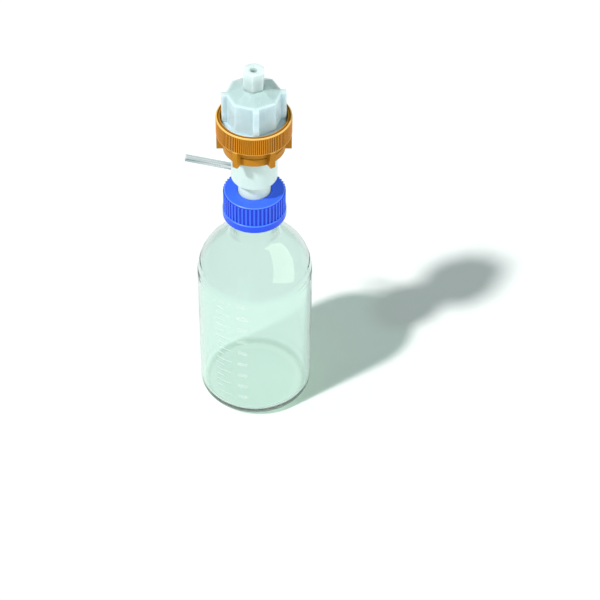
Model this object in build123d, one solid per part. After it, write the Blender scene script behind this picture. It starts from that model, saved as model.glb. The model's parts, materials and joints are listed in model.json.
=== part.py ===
from build123d import *
import math
import os

# Vacuum filtration unit for a one litre laboratory bottle.
# Millimetres. +Z is up, the origin is the centre of the bottle's foot and -Y is the front.

# ---------------------------------------------------------------- bottle
BOTTLE_RADIUS = 50.5
BOTTLE_HEIGHT = 225.0
BOTTLE_WALL = 3.0
FLOOR_THICKNESS = 5.0
PUSH_UP = 3.0              # rise of the floor's middle above the ring it stands on
FOOT_RING_WIDTH = 5.0
HEEL_RADIUS = 10.0
INNER_HEEL_RADIUS = 8.0
SHOULDER_AND_NECK = 87.5   # from the top of the straight wall up to the lip
SHOULDER_RADIUS = 46.0
NECK_RADIUS = 21.0         # root of the neck thread
NECK_FILLET = 8.0
NECK_BORE_RADIUS = 15.2
NECK_BORE_FLARE = 14.0
LIP_RADIUS = 20.2
LIP_HEIGHT = 6.0
LIP_ROUND = 1.6

# ---------------------------------------------------------------- screw threads
THREAD_PITCH = 4.0         # coarse round-crested threads: neck with cap, cup with ring nut
THREAD_DEPTH = 1.5
THREAD_CREST = 1.0         # axial width of a ridge at its crest
THREAD_BASE = 2.2          # axial width of a ridge where it leaves the wall
THREAD_CLEARANCE = 0.45    # radial room between a crest and the facing wall
THREAD_SINK = 0.15         # how deep a ridge is sunk into its own wall
INLET_PITCH = 2.0
INLET_DEPTH = 0.75
INLET_CREST = 0.45
INLET_BASE = 1.05
INLET_CLEARANCE = 0.25

# ---------------------------------------------------------------- stack on the bottle's mouth
SEAL_THICKNESS = 1.2
SEAL_WIDTH = 4.4
FLANGE_THICKNESS = 2.0
FLANGE_RADIUS = 21.3
SLIP_THICKNESS = 0.8
SLIP_RADIUS = 21.0
CAP_TOP_THICKNESS = 2.5
SEAT_GAP = 0.1             # flat faces of two bodies that turn or lift on each other
FIT_GAP = 0.05             # radial room of a tube pushed into its socket
PLUG_LENGTH = 13.0         # how far the adapter's plug reaches into the neck
PLUG_CLEARANCE = 0.6
PLUG_CHAMFER = 2.0

# ---------------------------------------------------------------- open-topped cap
CAP_HEIGHT = 26.5
CAP_BAND_RADIUS = 27.2
CAP_BAND_HEIGHT = 7.6
CAP_SKIRT_RADIUS = 25.8
CAP_RIBS = 48
CAP_RIB_RADIUS = 0.95
CAP_EDGE_CHAMFER = 0.9
CAP_BAND_FOOT_CHAMFER = 0.5
CAP_BAND_TOP_CHAMFER = 0.7
CAP_RIB_SINK = 0.2         # ribs start this far inside the band
CAP_HOLE_CLEARANCE = 0.75
CAP_THREAD_TURNS = 2.5
NECK_THREAD_TURNS = 2.5
NECK_THREAD_TOP = 8.5      # from the bottle's lip down to the top of the thread

# ---------------------------------------------------------------- lower housing
STEM_RADIUS = 13.85
BODY_RADIUS = 19.5
STEM_SHOWING = 14.8        # bare stem between the cap's top and the thick cylinder
BODY_SHOWING = 31.0        # thick cylinder between the stem and the ring nut
BODY_EDGE = 0.6
HEAD_RADIUS = 23.0         # stepped part inside the ring nut's collar
HEAD_FLANGE_RADIUS = 24.8
HEAD_FLANGE_THICKNESS = 3.5
DRAIN_RADIUS = 3.5
SPOUT_RADIUS = 5.0
SPOUT_LENGTH = 8.0
FUNNEL_RADIUS = 18.5
FUNNEL_DEPTH = 10.0
CHANNEL_RADIUS = 2.2
CHANNEL_OFFSET = 9.0

# ---------------------------------------------------------------- side tube
TUBE_OUTER_RADIUS = 3.0
TUBE_WALL = 1.0
TUBE_REACH = 60.0          # from the bottle's axis to the tube's free end
TUBE_SEAT = 12.0           # from the axis to the bottom of the tube's socket
TUBE_RISE = 5.2            # tube axis above the underside of the thick cylinder
TUBE_SQUEEZE = 0.2         # how much the soft tube gives in its socket, on the radius
TUBE_CONE = 0.4            # length over which it swells back outside the socket
TUBE_AZIMUTH = 164.0

# ---------------------------------------------------------------- filter pack
SUPPORT_RADIUS = 20.0
SUPPORT_THICKNESS = 2.5
SUPPORT_HOLE_RADIUS = 1.1
SUPPORT_HOLE_RINGS = 3
SUPPORT_HOLE_STEP = 5.6
MEMBRANE_RADIUS = 23.5
MEMBRANE_THICKNESS = 0.3
ORING_SECTION = 2.6
ORING_SQUEEZE = 0.4        # how far the ring stands proud of the cup's face
ORING_MEAN_RADIUS = 21.6
ORING_SIDE_ROOM = 0.1
DISC_CLEARANCE = 0.2

# ---------------------------------------------------------------- ring nut
NUT_HEIGHT = 33.5
NUT_COLLAR_LENGTH = 15.7   # from the nut's foot up to its wide band
NUT_BAND_RADIUS = 31.0     # root of the knurl
NUT_KNURL_DEPTH = 0.46
NUT_KNURL_RIBS = 120
NUT_RIM_HEIGHT = 1.5       # smooth rims above and below the knurl
NUT_RIM_CHAMFER = 0.7
NUT_RIM_SET_BACK = 0.1     # smooth rims stay this far inside the knurl's crests
NUT_RIM_GROOVE_RADIUS = 29.3
NUT_RIM_GROOVE_WIDTH = 0.7
NUT_RIM_GROOVE_DEPTH = 0.6
NUT_COLLAR_RADIUS = 26.0
NUT_COLLAR_GROOVE_HEIGHT = 1.1
NUT_COLLAR_GROOVE_DEPTH = 0.8
NUT_COLLAR_GROOVE_RISE = 7.2
NUT_COLLAR_CHAMFER = 0.6
NUT_FLOOR = 4.0
NUT_RUNNING_GAP = 0.4
NUT_LUGS = 6
NUT_LUG_WIDTH = 4.5
NUT_LUG_INSET = 0.3
NUT_LUG_ROOT = 1.2         # how deep the lugs are rooted in the collar
NUT_MOUTH_RADIUS = 27.7
NUT_MOUTH_DEPTH = 5.4
NUT_MOUTH_CHAMFER = 0.4
NUT_LEDGE_RISE = 0.8       # ledge under the housing's flange, above the band's foot
NUT_THREAD_TURNS = 1.5

# ---------------------------------------------------------------- upper cup
CUP_THREAD_RADIUS = 26.4   # crest of the cup's thread; its four grip ribs are flush with it
CUP_THREAD_TURNS = 1.5
CUP_THREAD_LEAD_IN = 0.8
CUP_WALL_SHOWING = 23.0    # from the ring nut's top to where walls and roof meet
CUP_SHOULDER_RISE = 0.9    # collar above the nut's thread
CUP_COLLAR_HEIGHT = 1.0
CUP_CORNER_RADIUS = 23.25
CUP_CORNERS = 8
CUP_CORNER_ROUND = 1.2
CUP_RIBS = 4
CUP_RIB_WIDTH = 5.3
CUP_RIB_ROUND = 0.7
CUP_TURN = 4.3             # how far the cup stands turned from square, degrees
CUP_CHAMBER_RADIUS = 18.5
CUP_WALL_TOP = 4.0         # thickness of the roof above the chamber's straight wall
ROOF_HEIGHT = 6.0
ROOF_SET_BACK = 0.3        # the roof's foot stands this far inside the wall's corners
ROOF_TOP_RADIUS = 10.4
CUP_BORE_RADIUS = 2.0

# ---------------------------------------------------------------- inlet fitting
BOSS_RADIUS = 5.6          # root of its thread
BOSS_HEIGHT = 9.3
BOSS_STOP = 1.0            # bottom of the tube socket above the roof
BOSS_THREAD_TURNS = 3.0
BOSS_THREAD_RISE = 1.6     # lowest ridge above the roof
SEAT_CONE_DEPTH = 2.4
SEAT_CONE_RADIUS = 4.7
FERRULE_LENGTH = 4.8
FERRULE_RADIUS = 5.0
FERRULE_LIFT = 0.4         # nose of the ferrule above the foot of the boss's cone
FERRULE_SIDE_ROOM = 0.08
SOCKET_CLEARANCE = 0.1
HEX_ACROSS_FLATS = 16.0
HEX_HEIGHT = 17.0
HEX_TURN = 25.0
HEX_CHAMFER = 0.7
HEX_LIFT = 0.2             # gap between the nut and the roof

# ---------------------------------------------------------------- heights that follow from the sizes
SHOULDER_START = BOTTLE_HEIGHT - SHOULDER_AND_NECK
SEAL_TOP = BOTTLE_HEIGHT + SEAL_THICKNESS
FLANGE_TOP = SEAL_TOP + FLANGE_THICKNESS
SLIP_TOP = FLANGE_TOP + SEAT_GAP + SLIP_THICKNESS
CAP_TOP = SLIP_TOP + SEAT_GAP + CAP_TOP_THICKNESS
CAP_BOTTOM = CAP_TOP - CAP_HEIGHT
CAP_HOLE_RADIUS = STEM_RADIUS + CAP_HOLE_CLEARANCE
CAP_BORE_RADIUS = NECK_RADIUS + THREAD_DEPTH + THREAD_CLEARANCE
PLUG_RADIUS = NECK_BORE_RADIUS - PLUG_CLEARANCE
PLUG_BOTTOM = SEAL_TOP - PLUG_LENGTH
BODY_BOTTOM = CAP_TOP + STEM_SHOWING
TUBE_HEIGHT = BODY_BOTTOM + TUBE_RISE
TUBE_SOCKET_RADIUS = TUBE_OUTER_RADIUS - TUBE_SQUEEZE + FIT_GAP
TUBE_FREE_START = BODY_RADIUS + TUBE_CONE

NUT_BOTTOM = BODY_BOTTOM + BODY_SHOWING
NUT_TOP = NUT_BOTTOM + NUT_HEIGHT
NUT_BAND_BOTTOM = NUT_BOTTOM + NUT_COLLAR_LENGTH
NUT_FLOOR_TOP = NUT_BOTTOM + NUT_FLOOR
NUT_HOLE_RADIUS = BODY_RADIUS + NUT_RUNNING_GAP
NUT_POCKET_RADIUS = HEAD_RADIUS + NUT_RUNNING_GAP
NUT_LEDGE = NUT_BAND_BOTTOM + NUT_LEDGE_RISE
NUT_BORE_RADIUS = CUP_THREAD_RADIUS + THREAD_CLEARANCE
NUT_CREST_RADIUS = NUT_BAND_RADIUS + NUT_KNURL_DEPTH
HEAD_STEP = NUT_FLOOR_TOP + SEAT_GAP
HEAD_FLANGE_BOTTOM = NUT_LEDGE + SEAT_GAP
HEAD_TOP = HEAD_FLANGE_BOTTOM + HEAD_FLANGE_THICKNESS

CUP_BOTTOM = HEAD_TOP + MEMBRANE_THICKNESS + ORING_SQUEEZE
CUP_ROOT_RADIUS = CUP_THREAD_RADIUS - THREAD_DEPTH
NUT_THREAD_TOP = NUT_TOP - NUT_MOUTH_DEPTH
CUP_SHOULDER = NUT_THREAD_TOP + CUP_SHOULDER_RISE
CUP_EDGE_HEIGHT = NUT_TOP + CUP_WALL_SHOWING
GROOVE_TOP = HEAD_TOP + MEMBRANE_THICKNESS + ORING_SECTION
ROOF_TOP = CUP_EDGE_HEIGHT + ROOF_HEIGHT
CHAMBER_TOP = CUP_EDGE_HEIGHT - CUP_WALL_TOP
SOCKET_RADIUS = TUBE_OUTER_RADIUS + SOCKET_CLEARANCE
BOSS_TOP = ROOF_TOP + BOSS_HEIGHT
HEX_BOTTOM = ROOF_TOP + HEX_LIFT
HEX_TOP = HEX_BOTTOM + HEX_HEIGHT
HEX_BORE_RADIUS = BOSS_RADIUS + INLET_DEPTH + INLET_CLEARANCE
FERRULE_BOTTOM = BOSS_TOP - SEAT_CONE_DEPTH + FERRULE_LIFT
FERRULE_TOP = FERRULE_BOTTOM + FERRULE_LENGTH


# ---------------------------------------------------------------- small helpers
def turned(*points):
    """A solid turned about Z from a closed outline of (radius, height) points."""
    with BuildPart() as part:
        with BuildSketch(Plane.XZ):
            with BuildLine():
                Polyline(*points, close=True)
            make_face()
        revolve(axis=Axis.Z)
    return part.part


def ring(inner, outer, low, high):
    """A plain ring, or a disc where inner is 0."""
    return turned((inner, low), (outer, low), (outer, high), (inner, high))


def ridge(wall, depth, base, crest, pitch, turns, low, inward=False):
    """A right-hand thread ridge on a wall of that radius; inward for a nut, outward for a screw."""
    side = -1 if inward else 1
    sunk = wall - side * THREAD_SINK
    path = Helix(pitch=pitch, height=pitch * turns, radius=sunk)
    rise = side * (depth + THREAD_SINK)
    with BuildSketch(Plane(origin=path @ 0, x_dir=(1, 0, 0), z_dir=path % 0)) as outline:
        with BuildLine():
            Polyline((0, -base / 2), (rise, -crest / 2), (rise, crest / 2), (0, base / 2), close=True)
        make_face()
    return Pos(0, 0, low) * sweep(outline.sketch, path=path, is_frenet=True)


def one_solid(shape):
    """The shape as its single solid."""
    return shape.solids().sort_by(SortBy.VOLUME)[-1]


# ---------------------------------------------------------------- bottle and its mouth
def shoulder_join(neck, fillet, shoulder):
    """Where the shoulder's arc meets the neck's fillet, and the height where the fillet ends."""
    centre = BOTTLE_RADIUS - SHOULDER_RADIUS
    run = neck + fillet - centre
    reach = shoulder + fillet
    rise = math.sqrt(reach ** 2 - run ** 2)
    share = shoulder / reach
    return (centre + run * share, SHOULDER_START + rise * share), SHOULDER_START + rise


def bottle():
    """Blown glass bottle: pushed-up foot, straight wall, round shoulder, threaded neck and lip."""
    out_join, neck_start = shoulder_join(NECK_RADIUS, NECK_FILLET, SHOULDER_RADIUS)
    in_join, bore_start = shoulder_join(NECK_BORE_RADIUS, NECK_BORE_FLARE, SHOULDER_RADIUS - BOTTLE_WALL)
    inner = BOTTLE_RADIUS - BOTTLE_WALL
    heel = BOTTLE_RADIUS - HEEL_RADIUS
    ring_in = heel - FOOT_RING_WIDTH
    lip_low = BOTTLE_HEIGHT - LIP_HEIGHT
    with BuildPart() as part:
        with BuildSketch(Plane.XZ):
            with BuildLine():
                ThreePointArc((0, PUSH_UP), (ring_in / 2, PUSH_UP * 0.72), (ring_in, 0))
                Line((ring_in, 0), (heel, 0))
                TangentArc((heel, 0), (BOTTLE_RADIUS, HEEL_RADIUS), tangent=(1, 0))
                Line((BOTTLE_RADIUS, HEEL_RADIUS), (BOTTLE_RADIUS, SHOULDER_START))
                shoulder = TangentArc((BOTTLE_RADIUS, SHOULDER_START), out_join, tangent=(0, 1))
                TangentArc(out_join, (NECK_RADIUS, neck_start), tangent=shoulder % 1)
                Line((NECK_RADIUS, neck_start), (NECK_RADIUS, lip_low))
                Line((NECK_RADIUS, lip_low), (LIP_RADIUS, lip_low + 1))
                Line((LIP_RADIUS, lip_low + 1), (LIP_RADIUS, BOTTLE_HEIGHT - LIP_ROUND))
                TangentArc((LIP_RADIUS, BOTTLE_HEIGHT - LIP_ROUND),
                           (LIP_RADIUS - LIP_ROUND, BOTTLE_HEIGHT), tangent=(0, 1))
                Line((LIP_RADIUS - LIP_ROUND, BOTTLE_HEIGHT), (NECK_BORE_RADIUS, BOTTLE_HEIGHT))
                Line((NECK_BORE_RADIUS, BOTTLE_HEIGHT), (NECK_BORE_RADIUS, bore_start))
                flare = TangentArc((NECK_BORE_RADIUS, bore_start), in_join, tangent=(0, -1))
                TangentArc(in_join, (inner, SHOULDER_START), tangent=flare % 1)
                Line((inner, SHOULDER_START), (inner, FLOOR_THICKNESS + INNER_HEEL_RADIUS))
                TangentArc((inner, FLOOR_THICKNESS + INNER_HEEL_RADIUS),
                           (inner - INNER_HEEL_RADIUS, FLOOR_THICKNESS), tangent=(0, -1))
                Line((inner - INNER_HEEL_RADIUS, FLOOR_THICKNESS), (0, FLOOR_THICKNESS + PUSH_UP))
                Line((0, FLOOR_THICKNESS + PUSH_UP), (0, PUSH_UP))
            make_face()
        revolve(axis=Axis.Z)
    low = BOTTLE_HEIGHT - NECK_THREAD_TOP - THREAD_PITCH * NECK_THREAD_TURNS
    thread = ridge(NECK_RADIUS, THREAD_DEPTH, THREAD_BASE, THREAD_CREST, THREAD_PITCH,
                   NECK_THREAD_TURNS, low)
    return one_solid(part.part + thread)


def mouth_seal():
    """Flat silicone ring between the bottle's lip and the housing's flange."""
    return ring(LIP_RADIUS - LIP_ROUND / 2 - SEAL_WIDTH, LIP_RADIUS - LIP_ROUND / 2, BOTTLE_HEIGHT, SEAL_TOP)


def slip_ring():
    """Thin ring held under the cap's top; it lifts with the cap and lets it turn on the flange."""
    return ring(CAP_HOLE_RADIUS, SLIP_RADIUS, FLANGE_TOP + SEAT_GAP, SLIP_TOP)


def open_cap():
    """Moulded screw cap with an open top, a ribbed skirt and a smooth lower band."""
    band_top = CAP_BOTTOM + CAP_BAND_HEIGHT
    skirt = turned(
        (CAP_BORE_RADIUS, CAP_BOTTOM), (CAP_BAND_RADIUS - CAP_BAND_FOOT_CHAMFER, CAP_BOTTOM),
        (CAP_BAND_RADIUS, CAP_BOTTOM + CAP_BAND_FOOT_CHAMFER),
        (CAP_BAND_RADIUS, band_top - CAP_BAND_TOP_CHAMFER),
        (CAP_BAND_RADIUS - CAP_BAND_TOP_CHAMFER, band_top), (CAP_SKIRT_RADIUS, band_top),
        (CAP_SKIRT_RADIUS, CAP_TOP - CAP_EDGE_CHAMFER), (CAP_SKIRT_RADIUS - CAP_EDGE_CHAMFER, CAP_TOP),
        (CAP_HOLE_RADIUS, CAP_TOP), (CAP_HOLE_RADIUS, SLIP_TOP + SEAT_GAP),
        (CAP_BORE_RADIUS, SLIP_TOP + SEAT_GAP))
    with BuildPart() as ribs:
        with BuildSketch(Plane.XY.offset(band_top - CAP_RIB_SINK)):
            with PolarLocations(CAP_SKIRT_RADIUS - CAP_RIB_RADIUS * 0.15, CAP_RIBS):
                Circle(CAP_RIB_RADIUS)
        extrude(amount=CAP_TOP - CAP_EDGE_CHAMFER - band_top + CAP_RIB_SINK)
    thread_low = BOTTLE_HEIGHT - NECK_THREAD_TOP - THREAD_PITCH * (NECK_THREAD_TURNS - 0.5)
    thread = ridge(CAP_BORE_RADIUS, THREAD_DEPTH, THREAD_BASE, THREAD_CREST, THREAD_PITCH,
                   CAP_THREAD_TURNS, thread_low, inward=True)
    return one_solid(skirt + ribs.part + thread)


# ---------------------------------------------------------------- lower housing and side tube
def toward_tube(shape):
    """Turns a shape built along +X to the side tube's direction and height."""
    return Pos(0, 0, TUBE_HEIGHT) * Rot(0, 0, TUBE_AZIMUTH) * Rot(0, 90, 0) * shape


def lower_housing():
    """Turned housing: plug and spout, flange, stem, body with the side port, and filter dish."""
    dish = HEAD_TOP - SUPPORT_THICKNESS
    outside = turned(
        (0, PLUG_BOTTOM - SPOUT_LENGTH), (SPOUT_RADIUS, PLUG_BOTTOM - SPOUT_LENGTH),
        (SPOUT_RADIUS, PLUG_BOTTOM), (PLUG_RADIUS - PLUG_CHAMFER, PLUG_BOTTOM),
        (PLUG_RADIUS, PLUG_BOTTOM + PLUG_CHAMFER), (PLUG_RADIUS, SEAL_TOP), (FLANGE_RADIUS, SEAL_TOP),
        (FLANGE_RADIUS, FLANGE_TOP), (STEM_RADIUS, FLANGE_TOP), (STEM_RADIUS, BODY_BOTTOM),
        (BODY_RADIUS - BODY_EDGE, BODY_BOTTOM), (BODY_RADIUS, BODY_BOTTOM + BODY_EDGE),
        (BODY_RADIUS, HEAD_STEP), (HEAD_RADIUS, HEAD_STEP), (HEAD_RADIUS, HEAD_FLANGE_BOTTOM),
        (HEAD_FLANGE_RADIUS, HEAD_FLANGE_BOTTOM), (HEAD_FLANGE_RADIUS, HEAD_TOP), (0, HEAD_TOP))
    hollow = turned(
        (0, PLUG_BOTTOM - SPOUT_LENGTH - 1), (DRAIN_RADIUS, PLUG_BOTTOM - SPOUT_LENGTH - 1),
        (DRAIN_RADIUS, dish - FUNNEL_DEPTH), (FUNNEL_RADIUS, dish), (SUPPORT_RADIUS + DISC_CLEARANCE, dish),
        (SUPPORT_RADIUS + DISC_CLEARANCE, HEAD_TOP + 1), (0, HEAD_TOP + 1))
    up = (Align.CENTER, Align.CENTER, Align.MIN)
    socket = toward_tube(Pos(0, 0, TUBE_SEAT) * Cylinder(TUBE_SOCKET_RADIUS, BODY_RADIUS, align=up))
    crossway = toward_tube(Pos(0, 0, CHANNEL_OFFSET) * Cylinder(CHANNEL_RADIUS, TUBE_SEAT, align=up))
    channel = Rot(0, 0, TUBE_AZIMUTH) * Pos(CHANNEL_OFFSET, 0, PLUG_BOTTOM - 1) * Cylinder(
        CHANNEL_RADIUS, TUBE_HEIGHT - PLUG_BOTTOM + 1, align=up)
    return one_solid(outside - hollow - socket - crossway - channel)


def vacuum_tube():
    """Clear stub of tubing pushed into the housing's side port, a little squeezed inside it."""
    inner = TUBE_OUTER_RADIUS - TUBE_WALL
    squeezed = TUBE_OUTER_RADIUS - TUBE_SQUEEZE
    return toward_tube(turned(
        (inner, TUBE_SEAT), (squeezed, TUBE_SEAT), (squeezed, BODY_RADIUS),
        (TUBE_OUTER_RADIUS, TUBE_FREE_START), (TUBE_OUTER_RADIUS, TUBE_REACH), (inner, TUBE_REACH)))


# ---------------------------------------------------------------- filter pack
def support_disc():
    """Sieve plate that carries the membrane over the funnel, drilled in hexagonal rings."""
    low = HEAD_TOP - SUPPORT_THICKNESS
    with BuildPart() as part:
        with BuildSketch(Plane.XY.offset(low)):
            Circle(SUPPORT_RADIUS)
            Circle(SUPPORT_HOLE_RADIUS, mode=Mode.SUBTRACT)
            for number in range(1, SUPPORT_HOLE_RINGS + 1):
                with PolarLocations(SUPPORT_HOLE_STEP * number, 6 * number):
                    Circle(SUPPORT_HOLE_RADIUS, mode=Mode.SUBTRACT)
        extrude(amount=SUPPORT_THICKNESS)
    return part.part


def filter_membrane():
    """Round filter membrane, clamped at its edge between the housing's rim and the ring seal."""
    return ring(0, MEMBRANE_RADIUS, HEAD_TOP, HEAD_TOP + MEMBRANE_THICKNESS)


def chamber_oring():
    """Round-section ring in the cup's lower face, resting on the membrane."""
    height = HEAD_TOP + MEMBRANE_THICKNESS + ORING_SECTION / 2
    return Pos(0, 0, height) * Torus(ORING_MEAN_RADIUS, ORING_SECTION / 2)


# ---------------------------------------------------------------- ring nut
def knurl():
    """Ring of fine upright ribs round the nut's band, as one toothed outline."""
    step = 2 * math.pi / NUT_KNURL_RIBS
    points = []
    for number in range(NUT_KNURL_RIBS):
        for share, radius in ((0.0, NUT_CREST_RADIUS), (0.34, NUT_CREST_RADIUS), (0.67, NUT_BAND_RADIUS)):
            angle = (number + share) * step
            points.append((radius * math.cos(angle), radius * math.sin(angle)))
    low = NUT_BAND_BOTTOM + NUT_RIM_HEIGHT
    with BuildPart() as part:
        with BuildSketch(Plane.XY.offset(low)):
            with BuildLine():
                Polyline(*points, close=True)
            make_face()
            Circle(NUT_MOUTH_RADIUS + 1, mode=Mode.SUBTRACT)
        extrude(amount=NUT_TOP - NUT_RIM_HEIGHT - low)
    return part.part


def nut_lugs():
    """Six spanner lugs under the band, flush with its outside and level with the collar's foot."""
    centre = (NUT_COLLAR_RADIUS + NUT_CREST_RADIUS) / 2
    with BuildPart() as part:
        with BuildSketch(Plane.XY.offset(NUT_BOTTOM)):
            with PolarLocations(centre, NUT_LUGS):
                Rectangle(NUT_CREST_RADIUS - NUT_COLLAR_RADIUS + 2, NUT_LUG_WIDTH)
            Circle(NUT_CREST_RADIUS - NUT_LUG_INSET, mode=Mode.INTERSECT)
            Circle(NUT_COLLAR_RADIUS - NUT_LUG_ROOT, mode=Mode.SUBTRACT)
        extrude(amount=NUT_BAND_BOTTOM + NUT_RIM_CHAMFER - NUT_BOTTOM)
    return part.part


def ring_nut():
    """Moulded union nut: stepped collar with lugs below, wide knurled band with the thread above."""
    groove_low = NUT_BOTTOM + NUT_COLLAR_GROOVE_RISE
    groove_high = groove_low + NUT_COLLAR_GROOVE_HEIGHT
    groove_radius = NUT_COLLAR_RADIUS - NUT_COLLAR_GROOVE_DEPTH
    rim = NUT_CREST_RADIUS - NUT_RIM_SET_BACK
    core = NUT_BAND_RADIUS - NUT_KNURL_DEPTH
    shell = turned(
        (NUT_HOLE_RADIUS, NUT_BOTTOM), (NUT_COLLAR_RADIUS - NUT_COLLAR_CHAMFER, NUT_BOTTOM),
        (NUT_COLLAR_RADIUS, NUT_BOTTOM + NUT_COLLAR_CHAMFER), (NUT_COLLAR_RADIUS, groove_low),
        (groove_radius, groove_low), (groove_radius, groove_high), (NUT_COLLAR_RADIUS, groove_high),
        (NUT_COLLAR_RADIUS, NUT_BAND_BOTTOM), (rim - NUT_RIM_CHAMFER, NUT_BAND_BOTTOM),
        (rim, NUT_BAND_BOTTOM + NUT_RIM_CHAMFER), (rim, NUT_BAND_BOTTOM + NUT_RIM_HEIGHT),
        (core, NUT_BAND_BOTTOM + NUT_RIM_HEIGHT), (core, NUT_TOP - NUT_RIM_HEIGHT),
        (rim, NUT_TOP - NUT_RIM_HEIGHT), (rim, NUT_TOP - NUT_RIM_CHAMFER), (rim - NUT_RIM_CHAMFER, NUT_TOP),
        (NUT_RIM_GROOVE_RADIUS + NUT_RIM_GROOVE_WIDTH, NUT_TOP),
        (NUT_RIM_GROOVE_RADIUS + NUT_RIM_GROOVE_WIDTH, NUT_TOP - NUT_RIM_GROOVE_DEPTH),
        (NUT_RIM_GROOVE_RADIUS, NUT_TOP - NUT_RIM_GROOVE_DEPTH), (NUT_RIM_GROOVE_RADIUS, NUT_TOP),
        (NUT_MOUTH_RADIUS + NUT_MOUTH_CHAMFER, NUT_TOP), (NUT_MOUTH_RADIUS, NUT_TOP - NUT_MOUTH_CHAMFER),
        (NUT_MOUTH_RADIUS, NUT_THREAD_TOP), (NUT_BORE_RADIUS, NUT_THREAD_TOP),
        (NUT_BORE_RADIUS, NUT_LEDGE), (NUT_POCKET_RADIUS, NUT_LEDGE), (NUT_POCKET_RADIUS, NUT_FLOOR_TOP),
        (NUT_HOLE_RADIUS, NUT_FLOOR_TOP))
    thread = ridge(NUT_BORE_RADIUS, THREAD_DEPTH, THREAD_BASE, THREAD_CREST, THREAD_PITCH,
                   NUT_THREAD_TURNS, cup_thread_low() - THREAD_PITCH / 2, inward=True)
    return one_solid(shell + knurl() + nut_lugs() + thread)


# ---------------------------------------------------------------- upper cup
def cup_thread_low():
    """Height of the lowest ridge centre of the cup's thread."""
    return CUP_BOTTOM + CUP_THREAD_LEAD_IN + THREAD_BASE / 2


def cup_plan():
    """Plan of the cup above its thread: an octagon with a grip rib on every second corner."""
    with BuildSketch() as plan:
        with BuildSketch(mode=Mode.PRIVATE) as corners:
            RegularPolygon(CUP_CORNER_RADIUS, CUP_CORNERS, rotation=0)
            fillet(corners.vertices(), CUP_CORNER_ROUND)
        add(corners.sketch)
        with BuildSketch(mode=Mode.PRIVATE) as arms:
            Rectangle(2 * CUP_THREAD_RADIUS, CUP_RIB_WIDTH)
            Rectangle(CUP_RIB_WIDTH, 2 * CUP_THREAD_RADIUS)
            outer = [v for v in arms.vertices() if Vector(v.X, v.Y).length > CUP_CORNER_RADIUS]
            fillet(outer, CUP_RIB_ROUND)
        add(arms.sketch)
    return plan.sketch


def upper_cup():
    """Moulded cup: threaded foot, ribbed octagonal wall, pyramid roof and the inlet's threaded boss."""
    foot = ring(0, CUP_ROOT_RADIUS, CUP_BOTTOM, CUP_SHOULDER)
    collar = ring(0, CUP_THREAD_RADIUS, CUP_SHOULDER, CUP_SHOULDER + CUP_COLLAR_HEIGHT)
    wall = Pos(0, 0, CUP_SHOULDER) * Rot(0, 0, CUP_TURN) * extrude(
        cup_plan(), amount=CUP_EDGE_HEIGHT - CUP_SHOULDER)
    with BuildPart() as roof:
        with BuildSketch(Plane.XY.offset(CUP_EDGE_HEIGHT)):
            RegularPolygon(CUP_CORNER_RADIUS - ROOF_SET_BACK, CUP_CORNERS, rotation=CUP_TURN)
        with BuildSketch(Plane.XY.offset(ROOF_TOP)):
            RegularPolygon(ROOF_TOP_RADIUS, CUP_CORNERS, rotation=CUP_TURN)
        loft()
    boss = ring(0, BOSS_RADIUS, ROOF_TOP - 0.5, BOSS_TOP)
    chamber = turned(
        (0, CUP_BOTTOM - 1), (CUP_CHAMBER_RADIUS, CUP_BOTTOM - 1), (CUP_CHAMBER_RADIUS, CHAMBER_TOP),
        (CUP_BORE_RADIUS, ROOF_TOP - CUP_WALL_TOP), (CUP_BORE_RADIUS, ROOF_TOP + BOSS_STOP),
        (SOCKET_RADIUS, ROOF_TOP + BOSS_STOP), (SOCKET_RADIUS, BOSS_TOP - SEAT_CONE_DEPTH),
        (SEAT_CONE_RADIUS, BOSS_TOP), (SEAT_CONE_RADIUS, BOSS_TOP + 1), (0, BOSS_TOP + 1))
    half = ORING_SECTION / 2 + ORING_SIDE_ROOM
    groove = ring(ORING_MEAN_RADIUS - half, ORING_MEAN_RADIUS + half, CUP_BOTTOM - 1, GROOVE_TOP)
    thread = ridge(CUP_ROOT_RADIUS, THREAD_DEPTH, THREAD_BASE, THREAD_CREST, THREAD_PITCH,
                   CUP_THREAD_TURNS, cup_thread_low())
    inlet = ridge(BOSS_RADIUS, INLET_DEPTH, INLET_BASE, INLET_CREST, INLET_PITCH,
                  BOSS_THREAD_TURNS, ROOF_TOP + BOSS_THREAD_RISE)
    return one_solid(foot + collar + wall + roof.part + boss - chamber - groove + thread + inlet)


# ---------------------------------------------------------------- inlet fitting
def inlet_ferrule():
    """Cone ring that grips the feed tube; its nose sits in the boss's cone."""
    slope = (SEAT_CONE_RADIUS - SOCKET_RADIUS) / SEAT_CONE_DEPTH
    nose = SOCKET_RADIUS + slope * FERRULE_LIFT - FERRULE_SIDE_ROOM
    waist = SEAT_CONE_RADIUS - FERRULE_SIDE_ROOM
    shoulder = BOSS_TOP + 2 * SEAT_GAP
    return turned(
        (SOCKET_RADIUS, FERRULE_BOTTOM), (nose, FERRULE_BOTTOM), (waist, BOSS_TOP), (waist, shoulder),
        (FERRULE_RADIUS, shoulder), (FERRULE_RADIUS, FERRULE_TOP), (SOCKET_RADIUS, FERRULE_TOP))


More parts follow.
